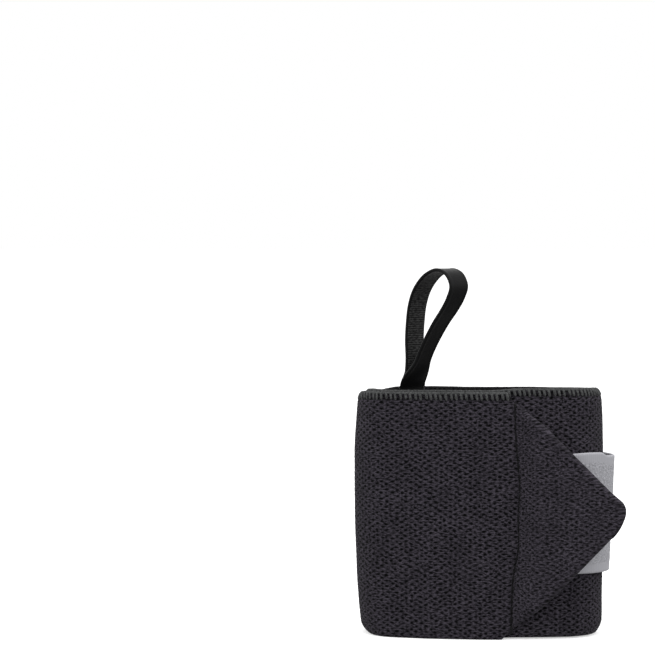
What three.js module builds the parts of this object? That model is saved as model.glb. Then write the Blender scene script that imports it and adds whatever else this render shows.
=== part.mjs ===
import * as THREE from "three";

// A wrist wrap, rolled up: a knitted elastic band wound into a flat oval coil that stands on its edge.
// Millimetres, +Z up. The pointed flap is at the front, which faces -Y.

// The band and its coil
const bandWidth = 80; // also the height of the coil
const bandThick = 1.9;
const coilWidth = 82; // left to right, without the strap
const coilDepth = 36; // front to back, without the flap and the strap
const sideBulge = 3; // how far the middle of a side stands out
const pieceGap = 0.3; // between the coil's layers, and between pieces that touch
const seamFromMiddle = 12.2; // the band's outer end, right of the front's middle
const innerEndFromMiddle = 27; // the band's inner end, left of the front's middle
const turnsWound = 2;
const selvedgeHeight = 1.1; // of the band's rounded edge
const edgeTuck = 2; // how far the coil draws in at its bottom edge
const frontTuckShare = 0.6; // of edgeTuck, at the coil's front and rear
const leftTuckShare = 1.5; // at its left end
const rightTuckShare = 0.5; // at its right end

// The pointed flap
const flapThick = 3.9; // two layers of the band
const foldLead = 3.1; // from the start of the corner folds to the seam
const thickeningLength = 6; // along which the flap grows from one layer to two
const noseHeight = 14; // of the blunt point
const noseLength = 4.8;
const noseTaper = 0.7; // 0 keeps the point as thick as the flap, and 1 brings it to an edge

// The closing strap and the hook tape beneath its free end
const strapWidth = 38;
const strapThick = 1.3;
const strapStartFromMiddle = 22; // its sewn end, right of the front's middle, beneath the flap
const strapEndFromMiddle = 35; // its free end, left of the rear's middle
const strapBow = 0.6; // how far it stands off round the coil's right end
const strapFlare = 1.7; // how much farther its top edge stands off there
const tapeEdgeHeight = 0.4; // of the rounded edge that every tape here has
const hookWidth = 36;
const hookThick = 1;
const hookShows = 2.4; // past the strap's free end
const hookLength = 66;

// The rubber patch
const patchLength = 49;
const patchHeight = 29;
const patchFromEnd = 5.2; // from the strap's free end
const patchRaise = 0.3; // of its middle above the strap's middle
const patchRim = 3.6;
const patchBevel = 2.3;
const rimThick = 1.1;
const panelThick = 2;
const patchCorner = 1.6;

// The thumb loop
const webbingWidth = 8;
const webbingThick = 1.1;
const loopHeight = 39.1; // above the band, to the middle of the webbing
const loopSpread = 21.8; // across, in the loop's own plane
const loopTurn = 45; // degrees that its right side is turned to the front
const loopFromMiddle = 23.3; // left of the front's middle
const loopTuck = 12; // sewn length below the band's top edge
const twistHeight = 9; // above the band, along which the webbing twists into the loop's plane

// How the coil draws in up its height: shares of the band's width and of edgeTuck.
const barrel = [
  { height: 0, tuck: 1 },
  { height: 0.045, tuck: 0.7 },
  { height: 0.125, tuck: 0.45 },
  { height: 0.22, tuck: 0.3 },
  { height: 0.375, tuck: 0.12 },
  { height: 0.55, tuck: 0 },
  { height: 0.75, tuck: 0 },
  { height: 0.9, tuck: 0.2 },
  { height: 0.96, tuck: 0.32 },
  { height: 1, tuck: 0.6 },
];

// Rounded edges: shares of the edge's height and of half the thickness.
const softEdge = [
  { up: 0, half: 0.45 },
  { up: 0.4, half: 0.85 },
  { up: 1, half: 1 },
];
const foldedEdge = [
  { up: 0, half: 0.3 },
  { up: 0.14, half: 0.64 },
  { up: 0.45, half: 0.9 },
  { up: 1, half: 1 },
];
const tapeEdge = [
  { up: 0, half: 0.6 },
  { up: 1, half: 1 },
];

// The flap's blunt point: shares of noseLength, and of half noseHeight above the band's middle.
const noseOutline = [
  { along: 0.2, top: 0.93, bottom: -0.9 },
  { along: 0.4, top: 0.8, bottom: -0.74 },
  { along: 0.6, top: 0.7, bottom: -0.54 },
  { along: 0.8, top: 0.56, bottom: -0.26 },
  { along: 0.93, top: 0.44, bottom: -0.02 },
  { along: 1, top: 0.3, bottom: 0.16 },
];

// The middle of the thumb loop's webbing, up its left side and down its right:
// shares of loopSpread and of loopHeight.
const loopCourse = [
  { out: 0.03, up: 0.1 },
  { out: 0.06, up: 0.26 },
  { out: 0.05, up: 0.42 },
  { out: 0.07, up: 0.57 },
  { out: 0.11, up: 0.7 },
  { out: 0.19, up: 0.81 },
  { out: 0.31, up: 0.895 },
  { out: 0.48, up: 0.965 },
  { out: 0.7, up: 1 },
  { out: 0.9, up: 0.965 },
  { out: 1, up: 0.87 },
  { out: 0.93, up: 0.77 },
  { out: 0.81, up: 0.68 },
  { out: 0.63, up: 0.57 },
  { out: 0.45, up: 0.44 },
  { out: 0.33, up: 0.33 },
  { out: 0.21, up: 0.21 },
  { out: 0.09, up: 0.1 },
];

// The sewn ends of the webbing: shares of loopTuck below the band's top edge.
const sewnCourse = [1, 0.6, 0.3, 0.1, -0.1];

// How finely the shapes are cut
const endSteps = 11;
const sideSteps = 7;
const leastStep = 1.5;
const flapRows = [0, 0.04, 0.08, 0.13, 0.2, 0.3, 0.4, 0.5, 0.6, 0.7, 0.8, 0.9, 1];
const middleRows = [0.2, 0.4, 0.6, 0.8];
const loopSteps = 64;

const { clamp, degToRad, lerp, smoothstep } = THREE.MathUtils;

// A closed solid through a row of rings. Each ring goes up one side of a strip and down the other,
// so an end is closed by joining the two sides row by row.
function loft(rings) {
  const ringSize = rings[0].length;
  const lastRing = (rings.length - 1) * ringSize;
  const triangles = [];
  const addQuad = (a, b, c, d) => triangles.push(a, b, c, a, c, d);
  for (let near = 0; near < lastRing; near += ringSize) {
    for (let i = 0; i < ringSize; i += 1) {
      const next = (i + 1) % ringSize;
      addQuad(near + i, near + next, near + ringSize + next, near + ringSize + i);
    }
  }
  for (let i = 0; i < ringSize / 2 - 1; i += 1) {
    const across = ringSize - 1 - i;
    addQuad(across, across - 1, i + 1, i);
    addQuad(lastRing + i, lastRing + i + 1, lastRing + across - 1, lastRing + across);
  }
  const coordinates = rings.flat().flatMap((point) => point.toArray());
  const geometry = new THREE.BufferGeometry();
  geometry.setAttribute("position", new THREE.Float32BufferAttribute(coordinates, 3));
  geometry.setIndex(triangles);
  geometry.computeVertexNormals();
  return geometry;
}

// Rows up a strip's section, with rounded edges.
function stripRows(low, high, thick, edge, edgeHeight) {
  const rowAt = (z, half) => ({ z, outer: (half * thick) / 2, inner: (-half * thick) / 2 });
  const bottom = edge.map(({ up, half }) => rowAt(low + up * edgeHeight, half));
  const top = edge.map(({ up, half }) => rowAt(high - up * edgeHeight, half)).reverse();
  const middle = middleRows.map((share) => rowAt(lerp(low + edgeHeight, high - edgeHeight, share), 1));
  return [...bottom, ...middle, ...top];
}

function ringOf(rows, placeAt) {
  const outerSide = rows.map(({ z, outer }) => placeAt(outer, z));
  const innerSide = rows.map(({ z, inner }) => placeAt(inner, z)).reverse();
  return [...outerSide, ...innerSide];
}

// The coil's oval has two slightly bulging sides and two round ends, an arc each.
const endRadius = coilDepth / 2 - sideBulge;
const endCentre = coilWidth / 2 - endRadius;
const sideCentre = (endCentre ** 2 - sideBulge ** 2) / (2 * sideBulge);
const sideRadius = sideCentre + coilDepth / 2;
const sideTurn = 2 * Math.atan2(endCentre, sideCentre);
const endTurn = Math.PI - sideTurn;

// The arcs of one turn, walking left from the middle of the front.
const arcs = [
  { x: 0, y: sideCentre, radius: sideRadius, turn: sideTurn / 2, steps: sideSteps },
  { x: -endCentre, y: 0, radius: endRadius, turn: endTurn, steps: endSteps },
  { x: 0, y: -sideCentre, radius: sideRadius, turn: sideTurn, steps: 2 * sideSteps },
  { x: endCentre, y: 0, radius: endRadius, turn: endTurn, steps: endSteps },
  { x: 0, y: sideCentre, radius: sideRadius, turn: sideTurn / 2, steps: sideSteps },
];
let turnLength = 0;
let turnedSoFar = 0;
for (const arc of arcs) {
  arc.start = turnLength;
  arc.turned = turnedSoFar;
  turnLength += arc.radius * arc.turn;
  turnedSoFar += arc.turn;
}

// Places on the walk round the oval. The first turn from outerEnd is the outermost layer.
const layerPitch = bandThick + pieceGap;
const outerEnd = -seamFromMiddle;
const innerEnd = turnsWound * turnLength + innerEndFromMiddle;
const rearMiddle = turnLength / 2;
const rightEnd = 0.75 * turnLength;

// The arc at a place on the walk, and the angle turned to reach the place.
function arcAt(walked) {
  const inTurn = THREE.MathUtils.euclideanModulo(walked, turnLength);
  const arc = arcs.findLast(({ start }) => start <= inTurn);
  return { arc, turned: arc.turned + (inTurn - arc.start) / arc.radius };
}

// A point on the coil's wall, so far out from the middle of the band's thickness.
function coilPoint(walked, out, z) {
  const { arc, turned } = arcAt(walked);
  const inset = layerPitch * ((walked - outerEnd) / turnLength - 0.5);
  const reach = arc.radius - bandThick / 2 - inset + out;
  return new THREE.Vector3(arc.x - reach * Math.sin(turned), arc.y - reach * Math.cos(turned), z);
}

// Where a piece that follows the coil has its rings: closer together round the ends.
function walkStops(from, to) {
  const stops = [];
  for (let turnStart = -turnLength; turnStart < to; turnStart += turnLength) {
    for (const arc of arcs) {
      const step = (arc.radius * arc.turn) / arc.steps;
      for (let i = 0; i < arc.steps; i += 1) {
        stops.push(turnStart + arc.start + i * step);
      }
    }
  }
  return [from, ...stops.filter((stop) => stop > from + leastStep && stop < to - leastStep), to];
}

function tuckAt(z) {
  const height = clamp(z / bandWidth, 0, 1);
  const above = Math.max(1, barrel.findIndex((row) => row.height >= height));
  const [below, next] = [barrel[above - 1], barrel[above]];
  return edgeTuck * lerp(below.tuck, next.tuck, (height - below.height) / (next.height - below.height));
}

// The coil's left end draws in the most, and its right end the least.
function tuckedPoint(walked, out, z) {
  const facing = Math.sin(arcAt(walked).turned);
  const endShare = facing > 0 ? leftTuckShare : rightTuckShare;
  return coilPoint(walked, out - tuckAt(z) * lerp(frontTuckShare, endShare, facing ** 2), z);
}

function makeBand() {
  const bodyHeights = barrel.slice(1, -1).map(({ height }) => height * bandWidth);
  const ringAt = (walked) => {
    // The folds cut the corners off the outer end at 45 degrees.
    const cut = Math.max(0, foldLead - (walked - outerEnd));
    const squeeze = 1 - (2 * cut) / bandWidth;
    const half = bandThick / 2;
    const body = bodyHeights.map((z) => ({ z, outer: half, inner: -half }));
    const edge = stripRows(0, bandWidth, bandThick, softEdge, selvedgeHeight);
    const rows = [...edge.slice(0, softEdge.length), ...body, ...edge.slice(-softEdge.length)];
    return ringOf(rows, (out, z) => {
      const height = bandWidth / 2 + (z - bandWidth / 2) * squeeze;
      return tuckedPoint(walked, out, height);
    });
  };
  return loft([outerEnd, ...walkStops(outerEnd + foldLead, innerEnd)].map(ringAt));
}

// How far the middle of the strap stands out from the middle of the band beneath it.
const strapLow = (bandWidth - strapWidth) / 2;
const strapStart = turnLength - strapStartFromMiddle;
const strapEnd = rearMiddle - strapEndFromMiddle;
const hookStart = strapEnd - hookShows;
const hookEnd = hookStart + hookLength;
function strapOut(walked, z) {
  const overHook = 1 - smoothstep(walked, hookEnd, rightEnd);
  const bowReach = turnLength / 4 - strapStartFromMiddle;
  const bow = Math.cos((Math.PI / 2) * clamp((walked - rightEnd) / bowReach, -1, 1)) ** 2;
  const flare = (strapFlare * (z - strapLow)) / strapWidth;
  const seated = bandThick / 2 + pieceGap + strapThick / 2;
  return seated + (hookThick + pieceGap) * overHook + (strapBow + flare) * bow;
}

function makeStrap() {
  const rows = stripRows(strapLow, strapLow + strapWidth, strapThick, tapeEdge, tapeEdgeHeight);
  const ringAt = (walked) => ringOf(rows, (out, z) => coilPoint(walked, strapOut(walked, z) + out, z));
  return loft(walkStops(strapEnd, strapStart).map(ringAt));
}

function makeHookTape() {
  const low = (bandWidth - hookWidth) / 2;
  const rows = stripRows(low, low + hookWidth, hookThick, tapeEdge, tapeEdgeHeight);
  const seated = bandThick / 2 + pieceGap + hookThick / 2;
  const ringAt = (walked) => ringOf(rows, (out, z) => coilPoint(walked, seated + out, z));
  return loft(walkStops(hookStart, hookEnd).map(ringAt));
}

// The patch has a flat rim for its stitching, and a bevel up to a flat panel.
function makePatch() {
  const endStops = [0, patchCorner / 3, patchCorner, patchRim];
  const start = strapEnd + patchFromEnd;
  const end = start + patchLength;
  const middle = bandWidth / 2 + patchRaise;
  const thickAt = (inward) => lerp(rimThick, panelThick, clamp((inward - patchRim) / patchBevel, 0, 1));
  const ringAt = (walked) => {
    const fromEnd = Math.min(walked - start, end - walked);
    const cornerLeft = Math.max(0, patchCorner - fromEnd);
    const trim = patchCorner - Math.sqrt(patchCorner ** 2 - cornerLeft ** 2);
    const halfHeight = patchHeight / 2 - trim;
    const upper = [patchRim + patchBevel - trim, patchRim - trim, 0].map((inset) => halfHeight - inset);
    const heights = [...upper.map((height) => -height).reverse(), ...upper];
    const rows = heights.map((height) => {
      const thick = thickAt(Math.min(fromEnd, patchHeight / 2 - Math.abs(height)));
      const back = strapOut(walked, middle + height) + strapThick / 2 + pieceGap;
      return { z: middle + height, outer: back + thick, inner: back };
    });
    return ringOf(rows, (out, z) => coilPoint(walked, out, z));
  };
  const stops = [
    ...endStops.map((stop) => start + stop),
    ...walkStops(start + patchRim + patchBevel, end - patchRim - patchBevel),
    ...endStops.map((stop) => end - stop).reverse(),
  ];
  return loft(stops.map(ringAt));
}

// The flap goes straight on from the seam, over the strap's sewn end, and stands proud of the coil.
function makeFlap() {
  const noseStart = (bandWidth - noseHeight) / 2;
  const foldX = coilPoint(outerEnd, 0, 0).x - foldLead;
  const seatAtSeam = coilPoint(outerEnd + turnLength, bandThick / 2 + pieceGap, 0);
  const seatOverStrap = coilPoint(strapStart, strapOut(strapStart, 0) + strapThick / 2 + pieceGap, 0);
  const ringAt = ({ fromFold, top, bottom, round }) => {
    const x = foldX + fromFold;
    const grown = smoothstep(fromFold - foldLead, 0, thickeningLength);
    const full = lerp(bandThick, flapThick, grown);
    const overStrap = clamp((x - seatAtSeam.x) / (seatOverStrap.x - seatAtSeam.x), 0, 1);
    const middle = lerp(seatAtSeam.y, seatOverStrap.y, overStrap) - full / 2;
    const edgeHeight = Math.min(full / 2, (top - bottom) / 4);
    const rows = stripRows(bottom, top, full * round, foldedEdge, edgeHeight);
    return ringOf(rows, (out, up) => {
      const z = bandWidth / 2 + up;
      return new THREE.Vector3(x, middle - out + (1 - grown) * frontTuckShare * tuckAt(z), z);
    });
  };
  const foldedAt = (fromFold) => {
    const top = bandWidth / 2 - fromFold;
    return { fromFold, top, bottom: -top, round: 1 };
  };
  const start = foldLead + pieceGap;
  const half = noseHeight / 2;
  const noseAt = ({ along, top, bottom }) => {
    const round = Math.sqrt(1 - noseTaper * along ** 2);
    return { fromFold: noseStart + along * noseLength, top: top * half, bottom: bottom * half, round };
  };
  const folded = flapRows.map((share) => foldedAt(lerp(start, noseStart, share)));
  return loft([...folded, ...noseOutline.map(noseAt)].reverse().map(ringAt));
}

// Both ends of the thumb loop are sewn to the inside of the band's inner end, one upon the other.
function makeThumbLoop() {
  const sewnAt = turnsWound * turnLength + loopFromMiddle;
  const rightOut = -(bandThick / 2 + pieceGap + webbingThick / 2);
  const leftOut = rightOut - webbingThick - pieceGap;
  const turn = degToRad(loopTurn);
  const outward = new THREE.Vector3(Math.cos(turn), -Math.sin(turn), 0);
  const half = webbingWidth / 2;
  const sewnAcross = coilPoint(sewnAt - half, 0, 0).sub(coilPoint(sewnAt + half, 0, 0)).normalize();
  const loopAcross = new THREE.Vector3(Math.sin(turn), Math.cos(turn), 0);
  const top = loopCourse.findIndex(({ up }) => up === 1);
  const sewn = (out) =>
    sewnCourse.map((share) => {
      const z = bandWidth - share * loopTuck;
      return tuckedPoint(sewnAt, out, z);
    });
  const course = loopCourse.map(({ out, up }, i) => {
    const share = clamp(i / (2 * top), 0, 1);
    const foot = coilPoint(sewnAt, lerp(leftOut, rightOut, share), bandWidth + up * loopHeight);
    return foot.addScaledVector(outward, out * loopSpread);
  });
  const points = [...sewn(leftOut), ...course, ...sewn(rightOut).reverse()];
  const curve = new THREE.CatmullRomCurve3(points, false, "centripetal");
  const edges = [
    { z: -half, outer: webbingThick / 4, inner: -webbingThick / 4 },
    { z: tapeEdgeHeight - half, outer: webbingThick / 2, inner: -webbingThick / 2 },
    { z: half - tapeEdgeHeight, outer: webbingThick / 2, inner: -webbingThick / 2 },
    { z: half, outer: webbingThick / 4, inner: -webbingThick / 4 },
  ];
  const rings = [];
  for (let i = 0; i <= loopSteps; i += 1) {
    const place = curve.getPointAt(i / loopSteps);
    const along = curve.getTangentAt(i / loopSteps);
    const twisted = smoothstep(place.z, bandWidth, bandWidth + twistHeight);
    const across = sewnAcross.clone().lerp(loopAcross, twisted).normalize();
    const away = across.clone().cross(along).normalize();
    const placeAt = (out, up) => place.clone().addScaledVector(across, up).addScaledVector(away, out);
    rings.push(ringOf(edges, placeAt));
  }
  return loft(rings);
}

const knit = { color: 0x3a373b, roughness: 0.95, metalness: 0 };
const plush = { color: 0x97999c, roughness: 0.95, metalness: 0 };
const hooks = { color: 0x1d1c1e, roughness: 0.8, metalness: 0 };
const rubber = { color: 0x414246, roughness: 0.55, metalness: 0 };
const webbing = { color: 0x262626, roughness: 0.85, metalness: 0 };

const wrap = new THREE.Group();
function addPiece(name, geometry, look) {
  const piece = new THREE.Mesh(geometry, new THREE.MeshStandardMaterial(look));
  piece.name = name;
  wrap.add(piece);
}

addPiece("wrap_band", makeBand(), knit);
addPiece("end_flap", makeFlap(), knit);
addPiece("closing_strap", makeStrap(), plush);
addPiece("hook_tape", makeHookTape(), hooks);
addPiece("rubber_patch", makePatch(), rubber);
addPiece("thumb_loop", makeThumbLoop(), webbing);

// The origin is below the middle of all the pieces, on the surface that the coil stands on.
const extent = new THREE.Box3().setFromObject(wrap);
const middle = extent.getCenter(new THREE.Vector3());
wrap.position.set(-middle.x, -middle.y, -extent.min.z);

export default wrap;
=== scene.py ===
import math
from functools import partial

import bmesh
import bpy
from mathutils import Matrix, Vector, noise


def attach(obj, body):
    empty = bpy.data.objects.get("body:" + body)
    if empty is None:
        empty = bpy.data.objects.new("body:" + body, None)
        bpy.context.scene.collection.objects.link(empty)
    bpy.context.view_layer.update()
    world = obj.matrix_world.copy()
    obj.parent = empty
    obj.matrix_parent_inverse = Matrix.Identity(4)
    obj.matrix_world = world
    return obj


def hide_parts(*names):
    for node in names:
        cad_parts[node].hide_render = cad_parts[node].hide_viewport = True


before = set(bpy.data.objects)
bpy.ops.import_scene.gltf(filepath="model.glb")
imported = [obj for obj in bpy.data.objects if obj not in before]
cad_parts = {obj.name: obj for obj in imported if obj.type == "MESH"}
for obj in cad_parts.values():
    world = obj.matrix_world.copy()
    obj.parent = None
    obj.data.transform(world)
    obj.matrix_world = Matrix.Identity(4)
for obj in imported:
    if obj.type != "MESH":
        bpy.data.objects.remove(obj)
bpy.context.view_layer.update()        # one body, "root": nothing hard moves
scene = bpy.context.scene
scene.view_settings.view_transform = "Standard"
mm = 0.001

# All places below are in mm about the middle of the coil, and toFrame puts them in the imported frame.
coilMiddle = {"x": -2.788, "y": 2.216}


def toFrame(place):
    return Vector((place[0] + coilMiddle["x"], place[1] + coilMiddle["y"], place[2])) * mm


# Camera: the photograph's own angle and framing

photo = {
    "place": (-0.55, -890, 132),
    "tiltDown": 2.029,      # degrees
    "turnLeft": 3.202,      # degrees: the wrap stands right of the middle
    "lens": 148.7, "sensor": 36,            # mm
    "farthest": 20,         # m
}

camera = bpy.data.cameras.new("photoCamera")
camera.lens = photo["lens"]
camera.sensor_width = photo["sensor"]
camera.clip_end = photo["farthest"]
cameraStand = bpy.data.objects.new("photoCamera", camera)
cameraStand.location = toFrame(photo["place"])
cameraStand.rotation_euler = (math.radians(90 - photo["tiltDown"]), 0, math.radians(photo["turnLeft"]))
scene.collection.objects.link(cameraStand)
scene.camera = cameraStand
print("camera stands")


# Materials: one function turns a colour linear, one plugs values and other nodes into a node, one adds a node

def linear(hexColour, gain=1):
    channels = [int(hexColour[i:i + 2], 16) / 255 for i in (0, 2, 4)]
    return (*[gain * (c / 12.92 if c <= 0.04045 else ((c + 0.055) / 1.055) ** 2.4) for c in channels], 1)


def plug(material, node, inputs):
    for name, value in inputs.items():
        if isinstance(value, bpy.types.Node):
            value = next(output for output in value.outputs if output.enabled)
        if isinstance(value, bpy.types.NodeSocket):
            material.node_tree.links.new(value, node.inputs[name])
        else:
            node.inputs[name].default_value = value


def addNode(material, kind, settings=None, inputs=None):
    node = material.node_tree.nodes.new("ShaderNode" + kind)
    for name, value in (settings or {}).items():
        setattr(node, name, value)
    plug(material, node, inputs or {})
    return node


def newMaterial(name):
    material = bpy.data.materials.new(name)
    material.use_nodes = True
    shader = material.node_tree.nodes["Principled BSDF"]
    return material, shader


knit = {
    "high": 80,             # mm from edge to edge
    "wale": 3.2,            # mm between two holes of a course
    "course": 0.92,         # mm between two courses; each is shifted by half a wale
    "relief": 0.14,         # mm from the yarn down into a hole
    "uneven": 0.24,         # how far a hole strays, as a share of its cell
    # mm that the rows wander along the band and across it, and over how many mm: slowly and quickly
    "wanders": [((1.8, 1.1), 7), ((0.38, 0.17), 1.3)],
    "strokes": (0.95, 2.2), # loops of yarn to the mm, along a course and across it
    "patches": 0.12,        # paler and darker patches to the mm
    "bars": (2.3, 3.3),     # mm below the edge where the deep shade between the overlock's bars fades out
    "barShade": 0.3,        # brightness in that shade
    "yarn": "2e2b31",
    # near black: painted shade in the holes
    "hole": "030304",
}


# The holes' near black is painted shade, and the loops' pale strokes are partly painted highlight on the
# fibres.
# Covered elastic knitted from textured polyester: matt, full of small dark holes between short pale loops.
# openness is how wide the holes stand, 1 where the cloth lies at ease
def charcoalKnit(name, openness):
    material, shader = newMaterial(name)
    add = partial(addNode, material)
    cloth = add("UVMap", {"uv_map": "cloth"})
    strayed = cloth
    for reach, over in knit["wanders"]:
        pull = add("TexNoise", {}, {"Vector": cloth, "Scale": 1 / over, "Detail": 2.0}).outputs["Color"]
        strayed = add("VectorMath", {"operation": "MULTIPLY_ADD"}, {0: pull, 1: (*reach, 0), 2: strayed})
    split = add("SeparateXYZ", {}, {0: strayed})
    along = add("Math", {"operation": "MULTIPLY"}, {0: split.outputs[0], 1: 1 / knit["wale"]})
    rising, falling = [add("Math", {"operation": "MULTIPLY_ADD"},
                           {0: split.outputs[1], 1: half / knit["course"], 2: along}) for half in (0.5, -0.5)]
    # a cell of this lattice is one hole with the yarn round it
    lattice = add("CombineXYZ", {}, {0: rising, 1: falling})
    holes = add("TexVoronoi", {"voronoi_dimensions": "2D"},
                {"Vector": lattice, "Scale": 1.0, "Randomness": knit["uneven"]})
    pit = add("MapRange", {"interpolation_type": "SMOOTHSTEP"}, {
        "Value": holes.outputs["Distance"], "From Min": 0.06, "From Max": 0.42, "To Min": 1.0, "To Max": 0.0,
    })
    chance = add("SeparateColor", {}, {0: holes.outputs["Color"]})
    openHole = add("MapRange", {}, {"Value": chance, "To Min": 0.75 * openness, "To Max": 1.5 * openness})
    depth = add("Math", {"operation": "MULTIPLY", "use_clamp": True}, {0: pit, 1: openHole})
    squeezed = add("VectorMath", {"operation": "MULTIPLY"}, {0: strayed, 1: (*knit["strokes"], 1)})
    strokes = add("TexNoise", {}, {"Vector": squeezed, "Scale": 1.0, "Detail": 2.0, "Roughness": 0.65})
    # pale strokes of yarn loops: partly the yarn's own tone, partly painted highlight where its fibres catch
    # light
    pale = add("MapRange", {"interpolation_type": "SMOOTHSTEP"},
               {"Value": strokes, "From Min": 0.3, "From Max": 0.7, "To Min": 0.1, "To Max": 2.9})
    blotch = add("TexNoise", {}, {"Vector": cloth, "Scale": knit["patches"], "Detail": 2.0})
    shade = add("MapRange", {},
                {"Value": blotch, "From Min": 0.3, "From Max": 0.7, "To Min": 0.85, "To Max": 1.15})
    dappled = add("Math", {"operation": "MULTIPLY"}, {0: pale, 1: shade})
    # the deep shade between the overlock's bars
    height = add("SeparateXYZ", {}, {0: cloth}).outputs[1]
    overEdge = add("Math", {"operation": "SUBTRACT"}, {0: height, 1: knit["high"]})
    fromEdge = add("Math", {"operation": "ABSOLUTE"}, {0: overEdge})
    barShade = add("MapRange", {"interpolation_type": "SMOOTHSTEP"}, {
        "Value": fromEdge, "From Min": knit["bars"][0], "From Max": knit["bars"][1],
        "To Min": knit["barShade"], "To Max": 1.0,
    })
    gain = add("Math", {"operation": "MULTIPLY"}, {0: dappled, 1: barShade})
    # in each hole the yarn goes over to the hole colour: painted shade
    yarn = add("Mix", {"data_type": "RGBA"},
               {"Factor": depth, "A": linear(knit["yarn"]), "B": linear(knit["hole"])})
    colour = add("VectorMath", {"operation": "SCALE"}, {0: yarn, "Scale": gain})
    relief = add("Math", {"operation": "SUBTRACT"}, {0: strokes, 1: depth})
    bump = add("Bump", {}, {"Height": relief, "Distance": 0.35 * mm, "Strength": 0.8})
    plug(material, shader, {
        "Base Color": colour, "Normal": bump, "Roughness": 0.95, "Specular IOR Level": 0.05,
        "Sheen Weight": 0.06, "Sheen Roughness": 0.5,
    })
    return material


knitCloth = charcoalKnit("charcoal polyester elastic knit", 1)
tightCloth = charcoalKnit("charcoal elastic knit pulled tight", 0.7)


# Spun and textured polyester yarns: matt and grainy, with loose fibres that lighten and darken them.
# grain is the size of a tuft of fibres, in mm, drawn coarser than a fibre so that it shows
def plainYarn(name, hexColour, roughness, grain):
    material, shader = newMaterial(name)
    add = partial(addNode, material)
    place = add("TexCoord").outputs["Object"]
    fibre = add("TexNoise", {}, {"Vector": place, "Scale": 1 / (grain * mm), "Detail": 3.0})
    spread = add("MapRange", {}, {"Value": fibre, "From Min": 0.25, "From Max": 0.75})
    colour = add("Mix", {"data_type": "RGBA"},
                 {"Factor": spread, "A": linear(hexColour, gain=0.3), "B": linear(hexColour, gain=1.7)})
    bump = add("Bump", {}, {"Height": fibre, "Distance": 0.15 * mm, "Strength": 0.6})
    plug(material, shader, {
        "Base Color": colour, "Normal": bump, "Roughness": roughness, "Specular IOR Level": 0.1,
        "Sheen Weight": 0.1,
    })
    return material


overlockYarn = plainYarn("textured polyester overlock yarn", "494a4a", 0.95, 0.5)
# the same stitches on the band's inner face, near black: painted shade for the coil's shaded far rim
overlockPaintedShade = plainYarn("overlock yarn darkened with painted shade", "202021", 0.95, 0.5)
blackThread = plainYarn("black polyester sewing thread", "121113", 0.7, 0.3)

# Brushed nylon loop tape: a pale, matt pile with small tufts, and flat woven margins
plush = {
    "base": "c4c4ca",
    "shade": "99999e",
    "wide": 38,             # mm
    "margin": 3,            # mm of flat weave along each edge
    "fade": 0.6,            # mm over which the pile begins, on each side of the margin's end
    "tuft": 0.65,           # mm
}


def brushedLoopTape():
    material, shader = newMaterial("brushed nylon loop tape")
    add = partial(addNode, material)
    cloth = add("UVMap", {"uv_map": "cloth"})
    split = add("SeparateXYZ", {}, {0: cloth})
    offMiddle = add("Math", {"operation": "SUBTRACT"}, {0: split.outputs[1], 1: plush["wide"] / 2})
    fromMiddle = add("Math", {"operation": "ABSOLUTE"}, {0: offMiddle})
    pileEnd = plush["wide"] / 2 - plush["margin"]
    flat = add("MapRange", {"interpolation_type": "SMOOTHSTEP"}, {
        "Value": fromMiddle, "From Min": pileEnd - plush["fade"], "From Max": pileEnd + plush["fade"],
    })
    tufts = add("TexNoise", {},
                {"Vector": cloth, "Scale": 1 / plush["tuft"], "Detail": 4.0, "Roughness": 0.65})
    spread = add("MapRange", {"interpolation_type": "SMOOTHSTEP"},
                 {"Value": tufts, "From Min": 0.32, "From Max": 0.66})
    # the wave node has a rib every pi / 10 / scale, which is 0.7 mm here
    weave = add("TexWave", {"bands_direction": "X"},
                {"Vector": cloth, "Scale": 0.45, "Distortion": 1.5, "Detail": 1.0}).outputs["Fac"]
    ribs = add("MapRange", {}, {"Value": weave, "To Min": 0.5, "To Max": 0.66})
    pattern = add("Mix", {"data_type": "FLOAT"}, {"Factor": flat, "A": spread, "B": ribs})
    colour = add("Mix", {"data_type": "RGBA"},
                 {"Factor": pattern, "A": linear(plush["shade"]), "B": linear(plush["base"])})
    bump = add("Bump", {}, {"Height": pattern, "Distance": 0.2 * mm, "Strength": 0.6})
    plug(material, shader, {
        "Base Color": colour, "Normal": bump, "Roughness": 0.9, "Specular IOR Level": 0.2,
        "Sheen Weight": 0.15,
    })
    return material


loopTape = brushedLoopTape()

# Woven black elastic: one face ribbed across its length and flecked with grey, the other smooth and darker
webbing = {
    "rib": 0.75,            # mm
    "flecks": 0.45,         # to the mm, across the webbing
    "flat": "0b0b0c",
    "valley": "0a0a0a",
    "ridge": "4c4c4c",
}


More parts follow.
